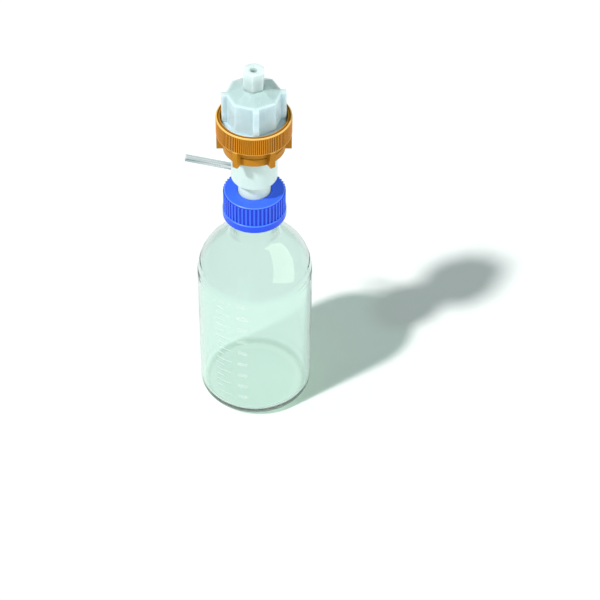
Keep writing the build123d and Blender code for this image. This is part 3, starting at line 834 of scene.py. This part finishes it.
# ---------------------------------------------------------------- studio
@dataclass(frozen=True)
class Studio:
    """Floor, surroundings, lamps and camera."""

    floor_half: float = 4.0
    fill_colour: Colour = (0.82, 1.0, 0.955)
    fill: float = 0.385
    mirrored: float = 0.15
    key_toward: tuple[float, float, float] = (0.522, 0.336, -0.783)
    key_spread: float = 4.0
    key: float = 2.82
    window_place: tuple[float, float, float] = (0.5865, 0.175, 0.8295)
    window_long: tuple[float, float, float] = (0.004, 0.618, 0.786)
    window_wide: tuple[float, float, float] = (0.709, 0.534, -0.461)
    window_size: tuple[float, float] = (0.59, 1.69)
    window: float = 7.4
    window_colour: Colour = (0.80, 1.0, 0.70)
    side_place: tuple[float, float, float] = (1.25, -0.75, 0.9)
    side_size: tuple[float, float] = (1.0, 1.0)
    side: float = 2.6
    watts_for_white: float = 4.0  # for each square metre of a softbox's face
    target: tuple[float, float, float] = (0.0, 0.0, 0.17)
    camera_place: tuple[float, float, float] = (0.01064, -1.18227, 1.26268)
    camera_pitch: float = 44.523
    camera_reach: Span = (0.05, 20.0)
    lens: float = 111.39
    sensor: float = 36.0
    shift: float = 0.055
    floor: StudioFloor = StudioFloor(
        "studio_floor", colour=(0.95, 0.95, 0.95), lift=0.04, through=0.8, fade=(0.55, 1.1))

    def build(self, glass: list[bpy.types.Object]) -> None:
        """Make the whole studio.

        Args:
            glass: pieces that mirror the window and not the key lamp.
        """
        floor = self._floor()
        self._surroundings()
        self._lamps(glass, floor)
        self._camera()
        LOG.info("studio: floor, surroundings, three lamps, camera")

    def _floor(self) -> bpy.types.Object:
        """Make a large level floor at the bottle's foot.

        Returns:
            The floor.
        """
        half = self.floor_half
        corners = [(x * half, y * half, 0.0) for x, y in ((-1, -1), (1, -1), (1, 1), (-1, 1))]
        mesh = bpy.data.meshes.new("studio_floor")
        mesh.from_pydata(corners, [], [(0, 1, 2, 3)])
        mesh.materials.append(self.floor.material())
        floor = placed("studio_floor", mesh)
        return floor

    def _surroundings(self) -> None:
        """White where it is seen, mirrored or seen through glass; a soft fill for everything else."""
        world = bpy.data.worlds.new("surroundings")
        world.use_nodes = True
        bpy.context.scene.world = world
        shader = Shader(world.node_tree)
        seen, _ = shader.seen(self.mirrored)
        background = shader.result(
            "ShaderNodeBackground", None,
            {
                "Color": shader.mix(seen, self.fill_colour, WHITE),
                "Strength": seen * (1.0 - self.fill) + self.fill,
            },
        )
        shader.node("ShaderNodeOutputWorld", None, {"Surface": background})

    def _lamps(self, glass: list[bpy.types.Object], floor: bpy.types.Object) -> None:
        """A key lamp high at the front left, a window that only glass mirrors, and a soft side fill.

        Args:
            glass: pieces that mirror the window and not the key lamp.
            floor: the floor, which the side fill leaves alone.
        """
        target = Vector(self.target)
        key = bpy.data.lights.new("key", "SUN")
        key.energy = self.key
        key.angle = math.radians(self.key_spread)
        key.cycles.use_multiple_importance_sampling = False
        toward = Vector(self.key_toward)
        lamp = self._aim(key, target - toward, toward, SIDEWAYS)
        lamp.visible_transmission = False
        self._reach(lamp, glass, Reach.ALL_BUT)
        long, wide = Vector(self.window_long), Vector(self.window_wide)
        window = self._softbox("window", self.window_size, self.window)
        window.color = self.window_colour
        lamp = self._aim(window, Vector(self.window_place), long.cross(wide), wide)
        lamp.visible_transmission = lamp.visible_diffuse = False
        self._reach(lamp, glass, Reach.ONLY)
        side = self._softbox("side_fill", self.side_size, self.side)
        place = Vector(self.side_place)
        lamp = self._aim(side, place, target - place, SIDEWAYS)
        lamp.visible_transmission = lamp.visible_glossy = False
        self._reach(lamp, [floor, *glass], Reach.ALL_BUT)

    def _softbox(self, name: str, size: tuple[float, float], level: float) -> bpy.types.Light:
        """A rectangular lamp.

        Args:
            name: the lamp's name.
            size: width and height in metres.
            level: brightness of its face, where 1 is white.

        Returns:
            The lamp's data.
        """
        lamp = bpy.data.lights.new(name, "AREA")
        lamp.shape = "RECTANGLE"
        lamp.size, lamp.size_y = size
        lamp.energy = level * self.watts_for_white * size[0] * size[1]
        return lamp

    @staticmethod
    def _aim(lamp: bpy.types.Light, place: Vector, toward: Vector, wide: Vector) -> bpy.types.Object:
        """Put a lamp in the scene.

        Args:
            lamp: the lamp's data.
            place: where it is.
            toward: the direction it shines in.
            wide: roughly the direction of its width.

        Returns:
            The lamp's object.
        """
        back = -toward.normalized()
        up = back.cross(wide).normalized()
        turn = Matrix((up.cross(back), up, back)).transposed().to_4x4()
        holder = placed(lamp.name, lamp)
        holder.matrix_world = Matrix.Translation(place) @ turn
        return holder

    @staticmethod
    def _reach(lamp: bpy.types.Object, pieces: list[bpy.types.Object], reach: Reach) -> None:
        """Say which pieces a lamp lights.

        Args:
            lamp: the lamp's object.
            pieces: the pieces listed.
            reach: whether it lights only these or all but these.
        """
        listed = bpy.data.collections.new(lamp.name + "_pieces")
        for piece in pieces:
            listed.objects.link(piece)
        for entry in listed.collection_objects:
            entry.light_linking.link_state = reach.value
        lamp.light_linking.receiver_collection = listed

    def _camera(self) -> None:
        """The camera, looking down at the unit from the front, with plain colours."""
        data = bpy.data.cameras.new("camera")
        data.sensor_width = self.sensor
        data.lens = self.lens
        data.shift_x = self.shift
        data.clip_start, data.clip_end = self.camera_reach
        camera = placed("camera", data)
        camera.location = self.camera_place
        camera.rotation_euler = (math.radians(90.0 - self.camera_pitch), 0.0, 0.0)
        scene = bpy.context.scene
        scene.camera = camera
        scene.view_settings.view_transform = "Standard"


# ---------------------------------------------------------------- meshes
def placed(name: str, data: bpy.types.ID) -> bpy.types.Object:
    """Put an object with this data in the scene, at the origin.

    Args:
        name: the object's name.
        data: its mesh, curve, lamp or camera.

    Returns:
        The new object.
    """
    holder = bpy.data.objects.new(name, data)
    bpy.context.scene.collection.objects.link(holder)
    return holder


def plain_mesh(holder: bpy.types.Object) -> bpy.types.Mesh:
    """Turn an object with modifiers or text into a plain mesh, and remove the object.

    Args:
        holder: the object.

    Returns:
        The evaluated mesh.
    """
    graph = bpy.context.evaluated_depsgraph_get()
    mesh = bpy.data.meshes.new_from_object(holder.evaluated_get(graph))
    bpy.data.objects.remove(holder)
    return mesh


def joined(name: str, meshes: list[bpy.types.Mesh], finish: Finish) -> bpy.types.Object:
    """Join meshes into one object at the origin.

    Args:
        name: the piece's name.
        meshes: meshes already in place.
        finish: the finish of the whole piece.

    Returns:
        The new object.
    """
    points: list[tuple[float, float, float]] = []
    faces: list[list[int]] = []
    for mesh in meshes:
        start = len(points)
        points += [tuple(vertex.co) for vertex in mesh.vertices]
        faces += [[start + corner for corner in face.vertices] for face in mesh.polygons]
        bpy.data.meshes.remove(mesh)
    whole = bpy.data.meshes.new(name)
    whole.from_pydata(points, [], faces)
    whole.validate()
    whole.materials.append(finish.material())
    return placed(name, whole)


# ---------------------------------------------------------------- finishes that several pieces share
WHITE_MOULDED = MouldedPlastic(
    "white_moulded", colour=(0.80, 0.86, 0.83), shade=(0.72, 0.79, 0.77), roughness=0.35, rubbed=0.5,
    shine=0.5, subsurface=0.2)
SEAL_RUBBER = Silicone("seal_rubber", colour=(0.60, 0.60, 0.58), bloom=(0.74, 0.74, 0.72))
MEMBRANE_PAPER = Membrane("membrane_paper", colour=(0.90, 0.90, 0.88), fibre=(0.80, 0.80, 0.78))
PRINT = FiredEnamel("graduation_enamel", colour=(0.90, 0.95, 0.93), worn=(0.80, 0.87, 0.84))


# ---------------------------------------------------------------- the bottle's print
@dataclass
class Graduations:
    """Volume scale printed on the bottle: ticks made by Geometry Nodes and plain numbers."""

    wall_radius: float
    inner_radius: float = 47.5 * MM
    floor_height: float = 11.4 * MM
    lift: float = 0.015 * MM
    thickness: float = 0.03 * MM
    line: float = 0.6 * MM
    tick: float = 15.0 * MM
    short_tick: float = 7.5 * MM
    arc_points: int = 9
    azimuth: float = -42.0
    number_azimuth: float = -8.0
    first: int = 100
    last: int = 900
    stride: int = 100
    digit_height: float = 4.4 * MM
    font_over_digit: float = 1.4
    curve_steps: int = 3

    def height_of(self, millilitres: float) -> float:
        """Height of the liquid's level, from the bottle's inside width."""
        return self.floor_height + millilitres * 1e-6 / (math.pi * self.inner_radius ** 2)

    def middle_radius(self) -> float:
        """Radius of the middle of the print's thickness."""
        return self.wall_radius + self.lift + self.thickness / 2

    def build(self) -> None:
        """Make and dress both pieces."""
        for piece in (self._ticks(), self._numbers()):
            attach(piece, "base")
            LOG.info("piece %s: %d faces", piece.name, len(piece.data.polygons))

    def _tick_tree(self) -> tuple[bpy.types.GeometryNodeTree, dict[str, str]]:
        """The Geometry Nodes tree for one row of ticks.

        Returns:
            The tree, and each input's identifier by its name.
        """
        tree = bpy.data.node_groups.new("tick_row", "GeometryNodeTree")
        tree.interface.new_socket("Geometry", in_out="OUTPUT", socket_type="NodeSocketGeometry")
        sizes = ("Radius", "Start", "Sweep", "First", "Step", "Width", "Thickness")
        kinds = {name: "NodeSocketFloat" for name in sizes}
        kinds |= {"Count": "NodeSocketInt", "Finish": "NodeSocketMaterial"}
        named = {
            name: tree.interface.new_socket(name, in_out="INPUT", socket_type=kind).identifier
            for name, kind in kinds.items()
        }
        given = tree.nodes.new("NodeGroupInput").outputs

        def add(
            kind: str, inputs: dict[Union[str, int], Any], **settings: Any
        ) -> Optional[bpy.types.NodeSocket]:
            """Add one node.

            Args:
                kind: the node's type.
                inputs: values or outputs for its sockets.
                settings: its own properties, set first.

            Returns:
                Its first output, or None if it has none.
            """
            node = tree.nodes.new(kind)
            for key, value in settings.items():
                setattr(node, key, value)
            for key, value in inputs.items():
                if isinstance(value, bpy.types.NodeSocket):
                    tree.links.new(value, node.inputs[key])
                else:
                    node.inputs[key].default_value = value
            return next(iter(node.outputs), None)

        arc = add(
            "GeometryNodeCurveArc",
            {
                "Resolution": self.arc_points, "Radius": given["Radius"],
                "Start Angle": given["Start"], "Sweep Angle": given["Sweep"],
            },
            mode="RADIUS")
        section = add(
            "GeometryNodeCurvePrimitiveQuadrilateral",
            {"Width": given["Thickness"], "Height": given["Width"]}, mode="RECTANGLE")
        strip = add("GeometryNodeCurveToMesh", {"Curve": arc, "Profile Curve": section, "Fill Caps": True})
        start = add("ShaderNodeCombineXYZ", {"Z": given["First"]})
        step = add("ShaderNodeCombineXYZ", {"Z": given["Step"]})
        row = add(
            "GeometryNodeMeshLine",
            {"Count": given["Count"], "Start Location": start, "Offset": step}, mode="OFFSET")
        copies = add("GeometryNodeInstanceOnPoints", {"Points": row, "Instance": strip})
        real = add("GeometryNodeRealizeInstances", {0: copies})
        finished = add("GeometryNodeSetMaterial", {"Geometry": real, "Material": given["Finish"]})
        add("NodeGroupOutput", {0: finished})
        return tree, named

    def _ticks(self) -> bpy.types.Object:
        """Make long ticks at each hundred and short ones half way.

        Returns:
            One piece with all the ticks.
        """
        tree, named = self._tick_tree()
        radius = self.middle_radius()
        count = (self.last - self.first) // self.stride + 1
        rows = (
            (self.tick, self.height_of(self.first), count),
            (self.short_tick, self.height_of(self.first + self.stride / 2), count - 1),
        )
        meshes = []
        for length, first, number in rows:
            holder = placed("tick_row", bpy.data.meshes.new("tick_row"))
            maker = holder.modifiers.new("ticks", "NODES")
            maker.node_group = tree
            sizes = {
                "Radius": radius, "Start": math.radians(self.azimuth - 90.0), "Sweep": length / radius,
                "First": first, "Step": self.height_of(self.stride) - self.height_of(0),
                "Width": self.line, "Thickness": self.thickness, "Count": number, "Finish": PRINT.material(),
            }
            for name, value in sizes.items():
                maker[named[name]] = value
            meshes.append(plain_mesh(holder))
        return joined("graduation_ticks", meshes, PRINT)

    def _numbers(self) -> bpy.types.Object:
        """Make a plain number beside each long tick, wrapped round the wall.

        Returns:
            One piece with all the numbers.
        """
        meshes = []
        radius = self.middle_radius()
        edge = math.radians(self.number_azimuth)
        for volume in range(self.first, self.last + 1, self.stride):
            curve = bpy.data.curves.new("number", "FONT")
            curve.body = str(volume)
            curve.size = self.digit_height * self.font_over_digit
            curve.align_x, curve.align_y = "RIGHT", "CENTER"
            curve.extrude = self.thickness / 2
            curve.resolution_u = self.curve_steps
            mesh = plain_mesh(placed("number", curve))
            for vertex in mesh.vertices:
                across, up, out = vertex.co
                angle = edge + across / radius
                reach = radius + out
                vertex.co = (reach * math.sin(angle), -reach * math.cos(angle), self.height_of(volume) + up)
            meshes.append(mesh)
        return joined("graduation_numbers", meshes, PRINT)


# ---------------------------------------------------------------- the unit
@dataclass
class SubAssembly(ABC):
    """CAD pieces that belong together. Its sizes are for its finishes, in metres."""

    frame: dict[str, Any]

    @abstractmethod
    def finishes(self) -> dict[str, Finish]:
        """The finish of each CAD piece, by the piece's name."""

    def build(self) -> None:
        """Give each CAD piece its finish."""
        for name, finish in self.finishes().items():
            node = self.frame["nodes"][name]
            if not node.material_slots:
                node.data.materials.append(finish.material())
            for slot in node.material_slots:
                slot.material = finish.material()
            LOG.info("piece %s: finish %s", name, finish.name)


@dataclass
class Bottle(SubAssembly):
    """The glass bottle with its printed scale, and the seal on its lip."""

    ring_below_lip: float = 79 * MM

    def finishes(self) -> dict[str, Finish]:
        """Work out the finishes from the places of the CAD pieces.

        Returns:
            The finish of each CAD piece, by the piece's name.
        """
        _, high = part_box("bottle")
        # the shoulder colour below is painted shade
        glass = BlownGlass(
            "bottle_glass", tint=(0.880, 1.0, 0.953), smear=(0.86, 0.98, 0.94), shoulder=(0.80, 0.88, 0.86),
            depth_colour=(0.50, 0.68, 0.62), density=30.0, ring_height=high.z - self.ring_below_lip)
        return {"bottle": glass, "mouth_seal": SEAL_RUBBER}

    def build(self) -> None:
        """Dress the glass and print its scale."""
        super().build()
        _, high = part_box("bottle")
        Graduations(wall_radius=high.x).build()


@dataclass
class Cap(SubAssembly):
    """The open screw cap and its slip ring. Rises are from its foot, and drops from its top."""

    outside: float = 27 * MM
    rib_crest: float = 26.45 * MM
    groove: Span = (25.5 * MM, 26.0 * MM)
    rib_rise: float = 8 * MM
    rib_drop: float = 1 * MM
    top_drop: float = 0.6 * MM
    past_top: float = 1 * MM
    hole: float = 14 * MM
    rim: float = 25.2 * MM
    band_radii: Span = (26.6 * MM, 28 * MM)
    band_rises: Span = (6.7 * MM, 7.6 * MM)

    def finishes(self) -> dict[str, Finish]:
        """Work out the finishes from the places of the CAD pieces.

        Returns:
            The finish of each CAD piece, by the piece's name.
        """
        low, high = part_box("open_cap")
        ribs = (low.z + self.rib_rise, high.z - self.rib_drop)
        top = (high.z - self.top_drop, high.z + self.past_top)
        band = tuple(low.z + rise for rise in self.band_rises)
        blue = MouldedPlastic(
            "blue_plastic", colour=(0.018, 0.090, 0.92), shade=(0.013, 0.070, 0.84),
            roughness=0.30, rubbed=0.42,
            rings=(
                # painted highlight on the rib crests
                Ring((0.050, 0.175, 1.0), (self.rib_crest, self.outside), ribs),
                # painted shade in the grooves between the ribs
                Ring((0.003, 0.030, 0.56), self.groove, ribs, soft=0.3 * MM, strength=0.7),
                # painted light: the top face is painted lighter
                Ring((0.042, 0.145, 1.0), (self.hole, self.outside), top),
                # painted highlight round the top rim
                Ring((0.14, 0.30, 1.0), (self.rim, self.outside), top),
                # painted highlight line on the band's top edge
                Ring((0.08, 0.22, 1.0), self.band_radii, band),
            ))
        return {"open_cap": blue, "slip_ring": WHITE_MOULDED}


@dataclass
class Housing(SubAssembly):
    """The turned housing with the vacuum tube in its port."""

    stem_radii: Span = (10 * MM, 14.2 * MM)
    stem_over_cap: Span = (-1 * MM, 14.6 * MM)

    def finishes(self) -> dict[str, Finish]:
        """Work out the finishes from the places of the CAD pieces.

        Returns:
            The finish of each CAD piece, by the piece's name.
        """
        _, cap_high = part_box("open_cap")
        stem = tuple(cap_high.z + rise for rise in self.stem_over_cap)
        mounts = self.frame["record"]["mounts"]
        along, across, _ = next(mount["axis"] for mount in mounts if mount["name"] == "vacuum_port")
        white = TurnedPlastic(
            "white_plastic", colour=(0.67, 0.80, 0.78), shade=(0.62, 0.74, 0.72),
            # painted light: the stem is painted paler and yellower, to cancel the blue light that the cap
            # bounces onto it
            rings=(Ring((0.82, 0.93, 0.70), self.stem_radii, stem),))
        tubing = ClearTubing(
            "clear_tubing", tint=WHITE, haze=(0.94, 0.97, 0.97), line=(0.60, 0.67, 0.68),
            depth_colour=(0.3, 0.46, 0.48), density=225.0, azimuth=math.atan2(across, along))
        return {"lower_housing": white, "vacuum_tube": tubing}


@dataclass
class FilterStack(SubAssembly):
    """The membrane between its support disc and the ring that seals it."""

    def finishes(self) -> dict[str, Finish]:
        """The finish of each CAD piece, by the piece's name."""
        return {
            "support_disc": WHITE_MOULDED, "filter_membrane": MEMBRANE_PAPER, "chamber_oring": SEAL_RUBBER}


@dataclass
class RingNut(SubAssembly):
    """The knurled ring nut. Rises are from its foot, and drops from its top."""

    outside: float = 32 * MM
    knurl_crest: float = 31.40 * MM
    knurl_groove: Span = (30.5 * MM, 31.3 * MM)
    knurl_soft: float = 0.06 * MM
    crest_rise: float = 17 * MM
    crest_drop: float = 1.2 * MM
    groove_rise: float = 17.2 * MM
    groove_drop: float = 1.5 * MM
    rim_groove: Span = (28.9 * MM, 29.7 * MM)
    rim_groove_drop: float = 0.9 * MM
    inside: Span = (20 * MM, 28 * MM)
    inside_rise: float = 16.5 * MM
    top_edge: float = 30.3 * MM
    top_edge_drop: float = 0.8 * MM
    past_top: float = 1 * MM
    low_edge: float = 30.8 * MM
    low_edge_rises: Span = (15.6 * MM, 16.6 * MM)

    def finishes(self) -> dict[str, Finish]:
        """Work out the finishes from the places of the CAD pieces.

        Returns:
            The finish of each CAD piece, by the piece's name.
        """
        low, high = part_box("ring_nut")
        crests = (low.z + self.crest_rise, high.z - self.crest_drop)
        grooves = (low.z + self.groove_rise, high.z - self.groove_drop)
        inside = (low.z + self.inside_rise, high.z - self.crest_drop)
        low_edge = tuple(low.z + rise for rise in self.low_edge_rises)
        past = high.z + self.past_top
        # painted light: the first colour below is a painted highlight, the second painted shade
        rubbed, painted_shade = (0.95, 0.55, 0.16), (0.16, 0.045, 0.001)
        ochre = MouldedPlastic(
            "ochre_plastic", colour=(0.56, 0.235, 0.006), shade=(0.43, 0.155, 0.003),
            roughness=0.36, rubbed=0.48, flow=90.0, shine=0.18,
            rings=(
                # painted highlight on the knurl crests
                Ring((0.86, 0.31, 0.006), (self.knurl_crest, self.outside), crests, soft=self.knurl_soft),
                # painted shade in the knurl grooves
                Ring((0.08, 0.018, 0.001), self.knurl_groove, grooves, soft=self.knurl_soft, strength=1.0),
                # painted shade in the rim groove
                Ring(painted_shade, self.rim_groove, (high.z - self.rim_groove_drop, past), strength=0.6),
                # painted shade on the inner wall
                Ring(painted_shade, self.inside, inside, strength=0.12),
                # painted highlight round the top rim
                Ring(rubbed, (self.top_edge, self.outside), (high.z - self.top_edge_drop, past)),
                # painted highlight on the lower edge of the knurled band
                Ring(rubbed, (self.low_edge, self.outside), low_edge, strength=0.7),
            ))
        return {"ring_nut": ochre}


@dataclass
class Cup(SubAssembly):
    """The milky cup, painted in zones of light and shade: its foot is painted paler above the ring nut, where
    the nut shades it, and its roof, which starts at an edge with a painted highlight line, is painted darker
    where the key lamp falls on it.
    """

    foot_over_nut: Span = (2 * MM, 12 * MM)
    roof_below_hexagon: float = 6.2 * MM
    roof_blend: float = 1.5 * MM

    def finishes(self) -> dict[str, Finish]:
        """Work out the finishes from the places of the CAD pieces.

        Returns:
            The finish of each CAD piece, by the piece's name.
        """
        _, nut_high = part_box("ring_nut")
        hex_low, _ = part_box("inlet_nut")
        edge = hex_low.z - self.roof_below_hexagon
        # painted light: the foot paler where the nut shades it, the top darker under the key lamp, and a
        # painted highlight line at the roof's edge
        milky = MilkyPlastic(
            "milky_plastic", foot=(0.67, 0.85, 0.97), wall=(0.55, 0.70, 0.76), top=(0.48, 0.615, 0.61),
            pale=(0.70, 0.84, 0.83), foot_heights=tuple(nut_high.z + rise for rise in self.foot_over_nut),
            top_heights=(edge - self.roof_blend, edge + self.roof_blend), edge=edge)
        return {"upper_cup": milky}


@dataclass
class Inlet(SubAssembly):
    """The hexagonal inlet nut and the ferrule under it."""

    foot_blend: float = 8 * MM
    top_blend: float = 1 * MM

    def finishes(self) -> dict[str, Finish]:
        """Work out the finishes from the places of the CAD pieces.

        Returns:
            The finish of each CAD piece, by the piece's name.
        """
        low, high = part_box("inlet_nut")
        # painted highlight: the pale line round the hex's top edge; the zone colours change only a little from
        # foot to top
        milky = MilkyPlastic(
            "milky_inlet", foot=(0.64, 0.78, 0.77), wall=(0.66, 0.80, 0.79), top=(0.68, 0.76, 0.75),
            pale=(0.80, 0.93, 0.91), foot_heights=(low.z, low.z + self.foot_blend),
            top_heights=(high.z - self.top_blend, high.z), edge=high.z)
        return {"inlet_ferrule": WHITE_MOULDED, "inlet_nut": milky}


SUB_ASSEMBLIES = (Bottle, Cap, Housing, FilterStack, RingNut, Cup, Inlet)


def main() -> None:
    """Load the model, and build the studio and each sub-assembly."""
    logging.basicConfig(level=logging.INFO, format="%(name)s: %(message)s")
    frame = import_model()
    Studio().build([frame["nodes"]["bottle"], frame["nodes"]["vacuum_tube"]])
    for sub_assembly in SUB_ASSEMBLIES:
        sub_assembly(frame).build()


if __name__ == "__main__":
    main()
